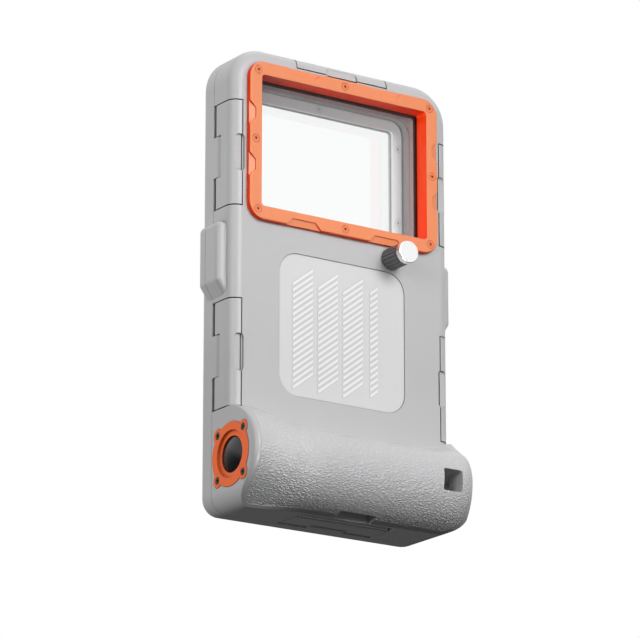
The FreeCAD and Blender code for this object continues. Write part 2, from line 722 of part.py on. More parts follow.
def shell_openings():
    """Everything cut from the window-side half once its walls stand."""
    cutters = []
    for name, turn, middle, edge in LATCH_PLACES:
        cutters.append(seat(latch_pocket(), turn, middle))
        cutters.append(seat(notch(), turn, middle))
    cutters.append(window_plate(SLEEVE_WALL + SLEEVE_PLAY, -1, LEDGE_FRONT))
    cutters.append(window_plate(SLEEVE_WALL + SLEEVE_PLAY - LEDGE_WIDTH, -1, LEDGE_BACK + 1))
    frame_bore = rod_y(FRAME_SCREW_SHANK, 0, 0, -1, FRAME_SCREW_LENGTH - FRAME_PROUD)
    cutters += [at(frame_bore, x, 0, z) for x, z in frame_screw_places()]
    cutters.append(label_plate(0, -1, LABEL_RECESS))
    cutters.append(rod_y(VENT_STEM + VENT_PLAY, VENT_X, VENT_Z, -1, LEDGE_BACK))
    cutters.append(rod_y(VENT_STEM + VENT_PLAY + 2 * VENT_SEAL_WIRE + VENT_PLAY, VENT_X, VENT_Z,
                         -1, VENT_SEAT_DEPTH))
    cutters.append(shutter_bore())
    cutters.append(lanyard_passage())
    cutters.append(finger_recess())
    bay = box(BAY_LEFT, BAY_RIGHT, -GRIP_REACH, FACE_WALL + 1, BAY_LOW, BAY_HIGH)
    bay = bay.common(grip_solid(BAY_WALL))
    cutters.append(bay.cut(board_posts()))
    lid_bore = rod_y(SMALL_SCREW_SHANK, 0, 0, LID_BACK + SCREW_HEAD_HEIGHT - SMALL_SCREW_LENGTH, LID_BACK)
    cutters += [at(lid_bore, x, 0, z) for x, z in lid_screw_places()]
    return cutters


def label_plate(shrink, y0, y1):
    """Plate of the label field, shrunk on every side."""
    half = LABEL_HALF_WIDTH - shrink
    corners = [LABEL_CORNER - shrink] * 4
    return plate(-half, half, LABEL_LOW + shrink, LABEL_HIGH - shrink, corners, y0, y1)


def board_posts():
    """Four posts that carry the board, rooted in the grip's front wall."""
    posts = []
    left = SWITCH_FACE + SWITCH_SIZE
    for x in (left + BOARD_POST, left + BOARD_LENGTH - 4 * BOARD_POST):
        for z in (BAY_LOW + 2 * BOARD_POST, BAY_HIGH - 2 * BOARD_POST):
            posts.append(rod_y(BOARD_POST, x, z, -GRIP_REACH, BOARD_FRONT))
    return posts[0].multiFuse(posts[1:])


def shutter_bore():
    """Seat of the bezel in the left end, button pocket, seal seat, stem bore and screw bores."""
    cutters = [
        bezel_blank(BEZEL_PLAY, -1, BEZEL_SEAT),
        rod_y(POCKET_RADIUS, 0, 0, 0, POCKET_FLOOR),
        rod_y(BORE_RADIUS + 2 * ORING_WIRE, 0, 0, 0, POCKET_FLOOR + ORING_SEAT),
        rod_y(BORE_RADIUS, 0, 0, 0, BAY_LEFT + HALF_WIDTH + 1),
    ]
    bore = rod_y(SMALL_SCREW_SHANK, 0, 0, 0, SMALL_SCREW_LENGTH - BEZEL_PROUD)
    cutters += [at(bore, x, 0, z) for x, z in bezel_screw_places()]
    return on_left_end(cutters[0].multiFuse(cutters[1:]))


def grip_skin():
    """Leather-grained skin let into the grip's curved face."""
    skin = grip_solid(0).common(skin_zone())
    return skin.cut([lanyard_passage(), finger_recess()]).removeSplitter()


def frame_facet(first, last):
    """Cutter for one sloping facet on the frame's upper band, along +X."""
    inner = -FRAME_BAND / 2
    section = [
        Vector(first, -FRAME_PROUD - 1, inner),
        Vector(first, -FRAME_PROUD + FACET_STEP, inner),
        Vector(first, -FRAME_PROUD + FACET_STEP + FACET_FALL, 0),
        Vector(first, -FRAME_PROUD + FACET_STEP + FACET_FALL, 1),
        Vector(first, -FRAME_PROUD - 1, 1),
    ]
    cutter = prism(section, Vector(last - first, 0, 0))
    flank = [
        Vector(first, -FRAME_PROUD - 2, 1),
        Vector(last, -FRAME_PROUD - 2, 1),
        Vector(last - FACET_BEVEL + inner, -FRAME_PROUD - 2, inner),
        Vector(first + FACET_BEVEL - inner, -FRAME_PROUD - 2, inner),
    ]
    return cutter.common(prism(flank, Vector(0, FRAME_PROUD + 2, 0)))


def window_frame():
    """Frame around the window: faceted band outside, sleeve through the shell."""
    frame = window_plate(FRAME_BAND, -FRAME_PROUD, 0)
    frame = fillet_where(frame, FRAME_EDGE, lambda middle: middle.y < -FRAME_PROUD + 0.01)
    frame = frame.fuse(window_plate(SLEEVE_WALL, -FRAME_PROUD / 2, SLEEVE_DEPTH))
    frame = frame.cut(window_plate(0, -FRAME_PROUD - 1, SLEEVE_DEPTH + 1))
    cutters = []
    for turn, spans, reach in (
        (0, FACET_LONG, WINDOW_HEIGHT / 2 + FRAME_BAND),
        (90, FACET_SHORT, WINDOW_WIDTH / 2 + FRAME_BAND),
        (180, FACET_LONG, WINDOW_HEIGHT / 2 + FRAME_BAND),
        (270, FACET_SHORT, WINDOW_WIDTH / 2 + FRAME_BAND),
    ):
        right = at(frame_facet(*spans), 0, 0, reach)
        for cutter in (right, mirrored(right)):
            cutter.rotate(Vector(0, 0, 0), Vector(0, 1, 0), turn)
            cutters.append(at(cutter, 0, 0, WINDOW_MIDDLE))
    hole = screw_hole(FRAME_SCREW_HEAD, FRAME_SCREW_SHANK, FRAME_PROUD + 1)
    cutters += [at(hole, x, -FRAME_PROUD, z) for x, z in frame_screw_places()]
    return frame.cut(cutters).removeSplitter()


def window_screws():
    """The eight screws of the window frame."""
    one = screw(FRAME_SCREW_HEAD, FRAME_SCREW_SHANK, FRAME_SCREW_LENGTH)
    return [at(one, x, -FRAME_PROUD, z) for x, z in frame_screw_places()]


def window_seal():
    """Flat seal between the glass and its ledge."""
    seal = window_plate(SLEEVE_WALL, GLASS_BACK, LEDGE_FRONT)
    return seal.cut(window_plate(SLEEVE_WALL + SLEEVE_PLAY - LEDGE_WIDTH, 0, LEDGE_BACK))


def bezel_blank(grow, y0, y1):
    """Outline of the bezel with its four ears, grown outwards, between two depths."""
    ears = [rod_y(EAR_RADIUS + grow, x, z, y0, y1) for x, z in bezel_screw_places()]
    return rod_y(BEZEL_RADIUS + grow, 0, 0, y0, y1).multiFuse(ears)


def shutter_bezel():
    """Screwed ring with four ears, let into the grip's end, that holds the shutter button in."""
    ring = bezel_blank(0, -BEZEL_PROUD, BEZEL_SEAT)
    cutters = [
        rod_y(BEZEL_RADIUS - BEZEL_RIM, 0, 0, -BEZEL_PROUD - 1, -BEZEL_PROUD + BEZEL_STEP),
        rod_y(BUTTON_HOLE, 0, 0, -BEZEL_PROUD - 1, BEZEL_SEAT + 1),
    ]
    seat_hole = screw_hole(SMALL_SCREW_HEAD, SMALL_SCREW_SHANK, BEZEL_THICKNESS + 1)
    cutters += [at(seat_hole, x, -BEZEL_PROUD, z) for x, z in bezel_screw_places()]
    return on_left_end(ring.cut(cutters).removeSplitter())


def shutter_screws():
    """The four screws of the shutter bezel."""
    one = screw(SMALL_SCREW_HEAD, SMALL_SCREW_SHANK, SMALL_SCREW_LENGTH)
    return [on_left_end(at(one, x, -BEZEL_PROUD, z)) for x, z in bezel_screw_places()]


def shutter_button():
    """Domed button with the skirt that keeps it behind the bezel and the stem that works the switch."""
    dome_radius = (BUTTON_RADIUS ** 2 + BUTTON_DOME ** 2) / (2 * BUTTON_DOME)
    ball = Part.makeSphere(dome_radius, Vector(0, dome_radius - BUTTON_PROUD, 0))
    cap = rod_y(BUTTON_RADIUS, 0, 0, -BUTTON_PROUD - 1, SKIRT_FRONT).common(ball)
    skirt = rod_y(SKIRT_RADIUS, 0, 0, SKIRT_FRONT, SKIRT_BACK)
    stem = rod_y(STEM_RADIUS, 0, 0, SKIRT_FRONT, STEM_END + HALF_WIDTH)
    return on_left_end(cap.multiFuse([skirt, stem]).removeSplitter())


def shutter_spring():
    """Coil of eight-sided wire between the button's skirt and its pocket's floor, drawn at rest."""
    low = SKIRT_BACK + SPRING_WIRE
    high = POCKET_FLOOR - SPRING_WIRE
    path = Part.makeHelix((high - low) / SPRING_TURNS, high - low, SPRING_RADIUS)
    corners = []
    for k in range(8):
        turn = math.radians(45 * k + 22.5)
        corners.append(Vector(SPRING_RADIUS + SPRING_WIRE * math.cos(turn), 0, SPRING_WIRE * math.sin(turn)))
    wire = Part.makePolygon(corners + corners[:1])
    coil = Part.Wire(path).makePipeShell([wire], True, True)
    coil.rotate(Vector(0, 0, 0), Vector(1, 0, 0), -90)
    return on_left_end(at(coil, 0, low, 0))


def ring_seal(inner, wire):
    """O-ring around the Y axis, centred on Y = 0."""
    return Part.makeTorus(inner + wire, wire, Vector(0, 0, 0), Vector(0, 1, 0))


def remote_board():
    """Circuit board with the switch that the button's stem presses."""
    left = SWITCH_FACE + SWITCH_BUTTON_PROUD
    board = box(left, left + BOARD_LENGTH, BOARD_FRONT, BOARD_BACK, BAY_LOW + BOARD_MARGIN, BAY_HIGH - BOARD_MARGIN)
    half = SWITCH_SIZE / 2
    switch = box(left, left + SWITCH_SIZE, BOARD_BACK, BOARD_BACK + SWITCH_SIZE,
                 SHUTTER_HEIGHT - half, SHUTTER_HEIGHT + half)
    plunger = Part.makeCylinder(SWITCH_BUTTON, SWITCH_BUTTON_PROUD, Vector(SWITCH_FACE, 0, SHUTTER_HEIGHT),
                                Vector(1, 0, 0))
    return board.multiFuse([switch, plunger]).removeSplitter()


def remote_cell():
    """Coin cell on the board."""
    middle_x = SWITCH_FACE + CELL_REACH
    return rod_y(CELL_RADIUS, middle_x, (BAY_LOW + BAY_HIGH) / 2, BOARD_BACK, BOARD_BACK + CELL_THICKNESS)


def bay_lid():
    """Lid that closes the board's bay towards the phone."""
    lid = plate(BAY_LEFT - LID_OVERLAP, BAY_RIGHT + LID_OVERLAP, BAY_LOW - LID_OVERLAP, BAY_HIGH + LID_OVERLAP,
                [LID_CORNER] * 4, FACE_WALL, LID_BACK)
    return lid.cut([rod_y(SMALL_SCREW_SHANK, x, z, 0, LID_BACK + 1) for x, z in lid_screw_places()])


def vent_stem():
    """Stem through the shell wall, with a stop disc inside."""
    tip = -KNOB_LIFT - KNOB_SLEEVE - KNOB_NECK - KNOB_CAP / 2
    stop = FACE_WALL + VENT_BOSS_HEIGHT + VENT_STOP_GAP
    stem = rod_y(VENT_STEM, VENT_X, VENT_Z, tip, stop)
    return stem.fuse(rod_y(VENT_STOP_RADIUS, VENT_X, VENT_Z, stop, stop + VENT_STOP_THICKNESS))


def knob_sleeve():
    """Fluted sleeve of the vent knob, with the plain neck under its cap."""
    back = -KNOB_LIFT
    front = back - KNOB_SLEEVE
    sleeve = rod_y(KNOB_RADIUS, 0, 0, front, back)
    flutes = []
    for k in range(KNOB_FLUTES):
        turn = 2 * math.pi * k / KNOB_FLUTES
        flutes.append(rod_y(KNOB_FLUTE_RADIUS, KNOB_RADIUS * math.cos(turn), KNOB_RADIUS * math.sin(turn),
                            front - 1, back + 1))
    sleeve = sleeve.cut(flutes).fuse(rod_y(KNOB_NECK_RADIUS, 0, 0, front - KNOB_NECK, front))
    sleeve = sleeve.cut(rod_y(VENT_STEM, 0, 0, front - KNOB_NECK - 1, back + 1))
    return at(sleeve, VENT_X, 0, VENT_Z)


def knob_cap():
    """Metal cap on the end of the vent knob."""
    back = -KNOB_LIFT - KNOB_SLEEVE - KNOB_NECK
    cap = rod_y(KNOB_CAP_RADIUS, 0, 0, back - KNOB_CAP, back)
    cap = fillet_where(cap, KNOB_CAP_EDGE, lambda middle: middle.y < back - KNOB_CAP + 0.01)
    return at(cap.cut(rod_y(VENT_STEM, 0, 0, back - KNOB_CAP / 2, back + 1)), VENT_X, 0, VENT_Z)


def side_pad():
    """Foam pad on the right wall of the dry space."""
    return box(CAVITY_HALF_WIDTH - PAD_THICKNESS, CAVITY_HALF_WIDTH, PAD_FRONT, PAD_BACK, PAD_LOW, PAD_HIGH)


def phone_rest():
    """Foam block under the phone."""
    return box(-REST_HALF_WIDTH, REST_HALF_WIDTH, REST_FRONT, REST_BACK, CAVITY_LOW, CAVITY_LOW + REST_HEIGHT)


def screen_cover():
    """Screen-side half: rim, screen wall and the knuckles of the six latches."""
    cover = shell_plate(BACK_DEPTH, SHELL_DEPTH)
    cover = fillet_where(cover, COVER_EDGE, lambda middle: middle.y > SHELL_DEPTH - 0.01)
    right = swell(BACK_DEPTH, SHELL_DEPTH)
    parts = [right, mirrored(right)]
    for name, turn, middle, edge in LATCH_PLACES:
        parts.append(seat(knuckle(), turn, middle))
    cover = cover.fuse(parts)
    opening = film_plate(0, BACK_DEPTH, SHELL_DEPTH + 1)
    opening = opening.fuse(film_bevel())
    groove = cavity_plate(GASKET_INSET + GASKET_WIDTH, BACK_DEPTH - 1, BACK_DEPTH + GASKET_DEPTH)
    groove = groove.cut(cavity_plate(GASKET_INSET, BACK_DEPTH - 2, BACK_DEPTH + GASKET_DEPTH + 1))
    groove = groove.cut(box(-HALF_WIDTH, HALF_WIDTH, 0, BACK_DEPTH, 0, SHELL_HEIGHT))
    bore = rod_y(SMALL_SCREW_SHANK, 0, 0, 0, CLAMP_INNER + SMALL_SCREW_LENGTH)
    cutters = [cavity_plate(0, PIVOT_Y, SCREEN_INNER), opening, groove]
    cutters += [at(bore, x, 0, z) for x, z in clamp_screw_places()]
    return cover.cut(cutters).removeSplitter()


def film_bevel():
    """Sloping edge of the screen opening, wider towards the outside."""
    inner = film_plate(0, SHELL_DEPTH - SCREEN_BEVEL, SHELL_DEPTH + 1)
    outer_wire = film_plate(SCREEN_BEVEL, SHELL_DEPTH, SHELL_DEPTH + 1)
    low = min(inner.Faces, key=lambda face: face.CenterOfMass.y).OuterWire
    high = min(outer_wire.Faces, key=lambda face: face.CenterOfMass.y).OuterWire
    return Part.makeLoft([low, high], True, True)


def cover_gasket():
    """Rubber gasket in the cover's groove, reaching the rim of the other half."""
    ring = cavity_plate(GASKET_INSET + GASKET_WIDTH, BACK_RIM, BACK_DEPTH + GASKET_DEPTH)
    return ring.cut(cavity_plate(GASKET_INSET, 0, SHELL_DEPTH))


def film_clamp():
    """Frame that clamps the touch film's edge to the screen wall."""
    clamp = film_plate(CLAMP_BAND, CLAMP_INNER, SCREEN_INNER)
    clamp = clamp.cut(film_plate(0, 0, SHELL_DEPTH))
    clamp = clamp.cut(film_plate(FILM_LAP, FILM_INNER, SHELL_DEPTH))
    hole = screw_hole(SMALL_SCREW_HEAD, SMALL_SCREW_SHANK, SMALL_SCREW_LENGTH)
    return clamp.cut([at(hole, x, CLAMP_INNER, z) for x, z in clamp_screw_places()])


def clamp_screws():
    """The screws of the film clamp, flush with its inner face."""
    one = screw(SMALL_SCREW_HEAD, SMALL_SCREW_SHANK, SMALL_SCREW_LENGTH)
    return [at(one, x, CLAMP_INNER, z) for x, z in clamp_screw_places()]


def hinge_pin():
    """Steel pin through both ears and the knuckle."""
    return latch_bar(PIN_RADIUS, LATCH_LENGTH - 2 * PIN_END - 2 * PIN_PLAY)


def all_nodes():
    """Every node of the assembly by name."""
    seal_y = POCKET_FLOOR + ORING_SEAT - ORING_WIRE
    shutter_seal = on_left_end(at(ring_seal(BORE_RADIUS, ORING_WIRE), 0, seal_y, 0))
    vent_seal = ring_seal(VENT_STEM + VENT_PLAY, VENT_SEAL_WIRE)
    lid_screw_top = LID_BACK + SCREW_HEAD_HEIGHT
    nodes = {
        "back_shell": back_shell(),
        "grip_skin": grip_skin(),
        "window_frame": window_frame(),
        "window_glass": window_plate(SLEEVE_WALL, SLEEVE_DEPTH, GLASS_BACK),
        "window_seal": window_seal(),
        "window_screws": window_screws(),
        "label_panel": label_plate(LABEL_PLAY, LABEL_RECESS - LABEL_THICKNESS, LABEL_RECESS),
        "shutter_bezel": shutter_bezel(),
        "shutter_screws": shutter_screws(),
        "shutter_button": shutter_button(),
        "shutter_spring": shutter_spring(),
        "shutter_seal": shutter_seal,
        "remote_board": remote_board(),
        "remote_cell": remote_cell(),
        "bay_lid": bay_lid(),
        "bay_screws": [at(inner_screw(), x, lid_screw_top, z) for x, z in lid_screw_places()],
        "vent_stem": vent_stem(),
        "knob_sleeve": knob_sleeve(),
        "knob_cap": knob_cap(),
        "vent_seal": at(vent_seal, VENT_X, VENT_SEAT_DEPTH - VENT_SEAL_WIRE, VENT_Z),
        "phone_pad_right": side_pad(),
        "phone_pad_left": mirrored(side_pad()),
        "phone_rest": phone_rest(),
        "screen_cover": screen_cover(),
        "cover_gasket": cover_gasket(),
        "touch_film": film_plate(FILM_LAP, FILM_INNER, SCREEN_INNER),
        "film_clamp": film_clamp(),
        "clamp_screws": clamp_screws(),
    }
    for name, turn, middle, edge in LATCH_PLACES:
        nodes["latch_" + name] = seat(latch_body(edge), turn, middle)
        nodes["pin_" + name] = seat(hinge_pin(), turn, middle)
    return nodes


os.makedirs("parts", exist_ok=True)
for node_name, solids in all_nodes().items():
    node = Part.makeCompound(solids) if isinstance(solids, list) else solids.copy()
    node.translate(Vector(0, ORIGIN_SHIFT, 0))
    node.exportStep("parts/" + node_name + ".step")
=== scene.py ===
import math

import bmesh
import bpy
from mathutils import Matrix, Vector


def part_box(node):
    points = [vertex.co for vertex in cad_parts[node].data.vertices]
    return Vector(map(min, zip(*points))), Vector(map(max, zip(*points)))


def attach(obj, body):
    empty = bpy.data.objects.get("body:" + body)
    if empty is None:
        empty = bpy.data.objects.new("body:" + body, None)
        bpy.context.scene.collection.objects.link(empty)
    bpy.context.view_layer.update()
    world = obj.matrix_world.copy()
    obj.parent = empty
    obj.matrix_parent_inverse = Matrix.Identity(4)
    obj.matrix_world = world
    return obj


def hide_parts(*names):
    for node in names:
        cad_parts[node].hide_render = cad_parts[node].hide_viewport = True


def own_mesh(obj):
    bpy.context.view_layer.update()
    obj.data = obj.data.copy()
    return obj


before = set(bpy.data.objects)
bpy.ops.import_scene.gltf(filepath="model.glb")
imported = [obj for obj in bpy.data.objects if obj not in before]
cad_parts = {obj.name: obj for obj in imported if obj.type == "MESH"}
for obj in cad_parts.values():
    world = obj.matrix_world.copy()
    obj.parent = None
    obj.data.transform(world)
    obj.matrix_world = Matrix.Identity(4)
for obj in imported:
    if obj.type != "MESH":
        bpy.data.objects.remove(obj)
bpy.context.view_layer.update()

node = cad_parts


# Window-side shell, screen cover and the six latches: light grey ABS, injection moulded in tools
# with a fine spark-eroded skin, so satin, not shiny. Edges are eased by a third of a millimetre,
# catch a thin paler line where handling has polished them, and the seams and hollows are painted
# darker as shade.

def linear(code):
    """Linear colour from an sRGB hex code."""
    channels = [int(code[k:k + 2], 16) / 255 for k in (1, 3, 5)]
    return [c / 12.92 if c <= 0.04045 else ((c + 0.055) / 1.055) ** 2.4 for c in channels] + [1.0]


def add(tree, kind, settings=None, inputs=None):
    """Adds one node, sets its options, and fills its inputs with values or links."""
    made = tree.nodes.new(kind)
    for name, value in (settings or {}).items():
        setattr(made, name, value)
    for name, value in (inputs or {}).items():
        socket = made.inputs[name]
        if isinstance(value, bpy.types.NodeSocket):
            tree.links.new(value, socket)
        else:
            socket.default_value = value
    return made


def new_material(name):
    """Empty material with its tree, its Principled shader and object coordinates."""
    material = bpy.data.materials.new(name)
    material.use_nodes = True
    tree = material.node_tree
    shader = tree.nodes["Principled BSDF"]
    place = add(tree, "ShaderNodeTexCoord").outputs["Object"]
    return material, tree, shader, place


def fill(shader, **values):
    """Sets a shader's own sockets; underscores stand for the spaces in their names."""
    for name, value in values.items():
        shader.inputs[name.replace("_", " ")].default_value = value


def moulded(name, light, dark, polish, grain=0.00035, depth=0.00002, rough=(0.34, 0.46),
            edge=0.0003, seam_shade=0.8):
    """Moulded plastic: cloudy tint, eroded grain, eased edges with a polished line, painted shade in the
    gaps.
    """
    clouds_per_metre = 45.0
    pits_per_metre = 0.6 / grain
    seam_reach = 0.0014
    painted_shade_colour = "#161616"
    material, tree, shader, place = new_material(name)
    cloud = add(tree, "ShaderNodeTexNoise", None,
                {"Vector": place, "Scale": clouds_per_metre, "Detail": 3.0})
    tint = add(tree, "ShaderNodeMix", {"data_type": "RGBA"},
               {"Factor": cloud.outputs["Fac"], "A": linear(dark), "B": linear(light)})
    eased = add(tree, "ShaderNodeBevel", {"samples": 4}, {"Radius": edge})
    facing = add(tree, "ShaderNodeNewGeometry")
    flat = add(tree, "ShaderNodeVectorMath", {"operation": "DOT_PRODUCT"},
               {0: eased.outputs["Normal"], 1: facing.outputs["Normal"]})
    rim = add(tree, "ShaderNodeMapRange", None,
              {"Value": flat.outputs["Value"], "From Min": 0.995, "From Max": 0.8, "To Max": 0.6})
    worn = add(tree, "ShaderNodeMix", {"data_type": "RGBA"},
               {"Factor": rim.outputs["Result"], "A": tint.outputs["Result"], "B": linear(polish)})
    # Painted shade: the colour darkens towards near black in seams, gaps and hollows, as far as the
    # occlusion reaches.
    gap = add(tree, "ShaderNodeAmbientOcclusion", {"samples": 4},
              {"Distance": seam_reach, "Normal": eased.outputs["Normal"]})
    seam_shade_mask = add(tree, "ShaderNodeMapRange", None,
               {"Value": gap.outputs["AO"], "From Min": 0.9, "From Max": 0.3, "To Max": seam_shade})
    seam_shaded = add(tree, "ShaderNodeMix", {"data_type": "RGBA"},
                 {"Factor": seam_shade_mask.outputs["Result"], "A": worn.outputs["Result"], "B": linear(painted_shade_colour)})
    tree.links.new(seam_shaded.outputs["Result"], shader.inputs["Base Color"])
    erosion = add(tree, "ShaderNodeTexNoise", None,
                  {"Vector": place, "Scale": pits_per_metre, "Detail": 2.0})
    sheen = add(tree, "ShaderNodeMapRange", None,
                {"Value": erosion.outputs["Fac"], "To Min": rough[0], "To Max": rough[1]})
    tree.links.new(sheen.outputs["Result"], shader.inputs["Roughness"])
    bump = add(tree, "ShaderNodeBump", None,
               {"Height": erosion.outputs["Fac"], "Distance": depth, "Strength": 0.6,
                "Normal": eased.outputs["Normal"]})
    tree.links.new(bump.outputs["Normal"], shader.inputs["Normal"])
    fill(shader, IOR=1.53)
    return material


def dress(material, *names):
    """Gives carried-over nodes their material."""
    for name in names:
        mesh = node[name].data
        mesh.materials.clear()
        mesh.materials.append(material)
        for face in mesh.polygons:
            face.material_index = 0


latch_spots = ("right_upper", "right_lower", "left_upper", "left_lower", "top", "bottom")
housing_abs = moulded("moulded_grey_abs", "#C1C1C2", "#BABABB", "#D6D6D7")
dress(housing_abs, "back_shell", "screen_cover", *("latch_" + spot for spot in latch_spots))

# Label field: a thin inlay, moulded in the same ABS one shade paler and bonded into its recess in
# the shell's face. Its skin is a little coarser than the shell's, so it looks flatter.
label_abs = moulded("moulded_pale_abs", "#DADADB", "#D4D4D5", "#E6E6E7", grain=0.0005, rough=(0.42, 0.55))
dress(label_abs, "label_panel")

# Raised marks on the label field: columns of slanting ribs, moulded with the inlay and screen
# printed white on top, so matt and crisp. They are plain hatching and stand for nothing.
label_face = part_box("label_panel")[0][1]
rib_height = 0.00016
rib_sunk = 0.00002
rib_thickness = 0.0015
rib_pitch = 0.0027
rib_slant = 0.75
points_along_rib = 8
ribs_in_column = 18
lowest_rib = 0.06
column_places = ((-0.0205, 0.0105), (-0.0075, 0.0105), (0.0055, 0.0105), (0.0165, 0.0042))  # middle, width


def hatched_column_tree():
    """Geometry Nodes tree for one column of slanting ribs on the XZ plane."""
    tree = bpy.data.node_groups.new("hatched_column", "GeometryNodeTree")
    tree.is_modifier = True
    sockets = {"Width": "Float", "Rib Thickness": "Float", "Rib Height": "Float", "Rib Pitch": "Float",
               "Slant": "Float", "Count": "Int", "Place": "Vector", "Material": "Material"}
    for name, kind in sockets.items():
        tree.interface.new_socket(name, in_out="INPUT", socket_type="NodeSocket" + kind)
    tree.interface.new_socket("Geometry", in_out="OUTPUT", socket_type="NodeSocketGeometry")
    given = add(tree, "NodeGroupInput").outputs
    size = add(tree, "ShaderNodeCombineXYZ", None,
               {"X": given["Width"], "Y": given["Rib Height"], "Z": given["Rib Thickness"]})
    bar = add(tree, "GeometryNodeMeshCube", None,
              {"Size": size.outputs["Vector"], "Vertices X": points_along_rib})
    position = add(tree, "GeometryNodeInputPosition").outputs["Position"]
    along = add(tree, "ShaderNodeSeparateXYZ", None, {"Vector": position})
    lean = add(tree, "ShaderNodeMath", {"operation": "MULTIPLY"},
               {0: along.outputs["X"], 1: given["Slant"]})
    push = add(tree, "ShaderNodeCombineXYZ", None, {"Z": lean.outputs["Value"]})
    rib = add(tree, "GeometryNodeSetPosition", None,
              {"Geometry": bar.outputs["Mesh"], "Offset": push.outputs["Vector"]})
    step = add(tree, "ShaderNodeCombineXYZ", None, {"Z": given["Rib Pitch"]})
    row = add(tree, "GeometryNodeMeshLine", None,
              {"Count": given["Count"], "Start Location": given["Place"], "Offset": step.outputs["Vector"]})
    ribs = add(tree, "GeometryNodeInstanceOnPoints", None,
               {"Points": row.outputs["Mesh"], "Instance": rib.outputs["Geometry"]})
    solid = add(tree, "GeometryNodeRealizeInstances", None, {"Geometry": ribs.outputs["Instances"]})
    painted = add(tree, "GeometryNodeSetMaterial", None,
                  {"Geometry": solid.outputs["Geometry"], "Material": given["Material"]})
    add(tree, "NodeGroupOutput", None, {"Geometry": painted.outputs["Geometry"]})
    return tree


def stand(name, data):
    """Puts an object with the given mesh, light or camera into the scene."""
    made = bpy.data.objects.new(name, data)
    bpy.context.scene.collection.objects.link(made)
    return made


def grown(name, tree, values):
    """Plain mesh that a Geometry Nodes tree makes from the given named inputs."""
    seed = stand(name + "_seed", bpy.data.meshes.new(name + "_seed"))
    modifier = seed.modifiers.new(name, "NODES")
    modifier.node_group = tree
    for item in tree.interface.items_tree:
        if item.in_out == "INPUT" and item.name in values:
            modifier[item.identifier] = values[item.name]
    mesh = bpy.data.meshes.new_from_object(seed.evaluated_get(bpy.context.evaluated_depsgraph_get()))
    seed.modifiers.clear()
    bpy.data.objects.remove(seed)
    return mesh


print_white = moulded("screen_printed_white", "#F1F1F1", "#ECECEC", "#F6F6F6", grain=0.0005,
                      rough=(0.45, 0.6), edge=0.0001)
column_tree = hatched_column_tree()
joined = bmesh.new()
for across, width in column_places:
    joined.from_mesh(grown("label_column", column_tree, {
        "Width": width, "Rib Thickness": rib_thickness, "Rib Height": rib_height, "Rib Pitch": rib_pitch,
        "Slant": rib_slant, "Count": ribs_in_column, "Material": print_white,
        "Place": (across, label_face - rib_height / 2 + rib_sunk, lowest_rib)}))
label_marks_mesh = bpy.data.meshes.new("label_marks")
joined.to_mesh(label_marks_mesh)
joined.free()
label_marks_mesh.materials.append(print_white)
label_marks = stand("label_marks", label_marks_mesh)
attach(label_marks, "housing")

# Window frame, its screws and the shutter bezel: orange ABS and orange painted steel. The frame's
# front flats are painted paler, a painted sheen of the light they face, and reflect more; the walls
# of the window's opening and the steps are a deep, clean orange with less reflection.
# The pale orange here is the front flats' colour with a painted sheen in it; the walls get a deep orange
# below.
orange_abs = moulded("moulded_orange_abs", "#F08A54", "#EA824C", "#FFA676", grain=0.0003,
                     rough=(0.36, 0.5), seam_shade=0.5)
tree = orange_abs.node_tree
shader = tree.nodes["Principled BSDF"]
painted_sheen_front = shader.inputs["Base Color"].links[0].from_socket
normal = add(tree, "ShaderNodeTexCoord").outputs["Normal"]
facing = add(tree, "ShaderNodeSeparateXYZ", None, {"Vector": normal})
# Painted sheen: the colour goes from pale to deep orange by which way each face points.
wall = add(tree, "ShaderNodeMapRange", {"interpolation_type": "SMOOTHSTEP"},
           {"Value": facing.outputs["Y"], "From Min": -0.75, "From Max": -0.35})
sheen_by_facing = add(tree, "ShaderNodeMix", {"data_type": "RGBA"},
               {"Factor": wall.outputs["Result"], "A": painted_sheen_front, "B": linear("#FF4008")})
tree.links.new(sheen_by_facing.outputs["Result"], shader.inputs["Base Color"])
gloss = add(tree, "ShaderNodeMapRange", None,
            {"Value": wall.outputs["Result"], "To Min": 0.5, "To Max": 0.12})
tree.links.new(gloss.outputs["Result"], shader.inputs["Specular IOR Level"])
dress(orange_abs, "window_frame")
bezel_abs = moulded("moulded_bezel_abs", "#FF7434", "#FC6C2C", "#FF9260", grain=0.0003, rough=(0.3, 0.42))
dress(bezel_abs, "shutter_bezel")
screw_paint = moulded("orange_painted_steel", "#F2824C", "#EC7A44", "#FF9E6C", rough=(0.28, 0.38),
                      edge=0.00015, seam_shade=0.45)
dress(screw_paint, "window_screws")

# Window glass and touch film: flat tempered glass, and thin clear TPU with a faint ripple. Both
# mirror a little and let the light through to what is behind them.

def clear_sheet(name, tint, rough, ripple):
    """Clear sheet whose shadow and bounce rays pass straight through."""
    waves_per_metre = 60.0
    material, tree, shader, place = new_material(name)
    wave = add(tree, "ShaderNodeTexNoise", None,
               {"Vector": place, "Scale": waves_per_metre, "Detail": 1.0})
    bump = add(tree, "ShaderNodeBump", None,
               {"Height": wave.outputs["Fac"], "Distance": ripple, "Strength": 0.3})
    tree.links.new(bump.outputs["Normal"], shader.inputs["Normal"])
    fill(shader, Base_Color=linear(tint), Roughness=rough, IOR=1.5, Transmission_Weight=1.0)
    passing = add(tree, "ShaderNodeBsdfTransparent", None, {"Color": linear(tint)})
    rays = add(tree, "ShaderNodeLightPath")
    soft = add(tree, "ShaderNodeMath", {"operation": "MAXIMUM"},
               {0: rays.outputs["Is Shadow Ray"], 1: rays.outputs["Is Diffuse Ray"]})
    mixed = add(tree, "ShaderNodeMixShader", None,
                {0: soft.outputs["Value"], 1: shader.outputs["BSDF"], 2: passing.outputs["BSDF"]})
    tree.links.new(mixed.outputs["Shader"], tree.nodes["Material Output"].inputs["Surface"])
    return material


dress(clear_sheet("tempered_glass", "#FDFEFE", 0.0, 0.000004), "window_glass")
dress(clear_sheet("clear_tpu_film", "#FCFDFD", 0.02, 0.00002), "touch_film")

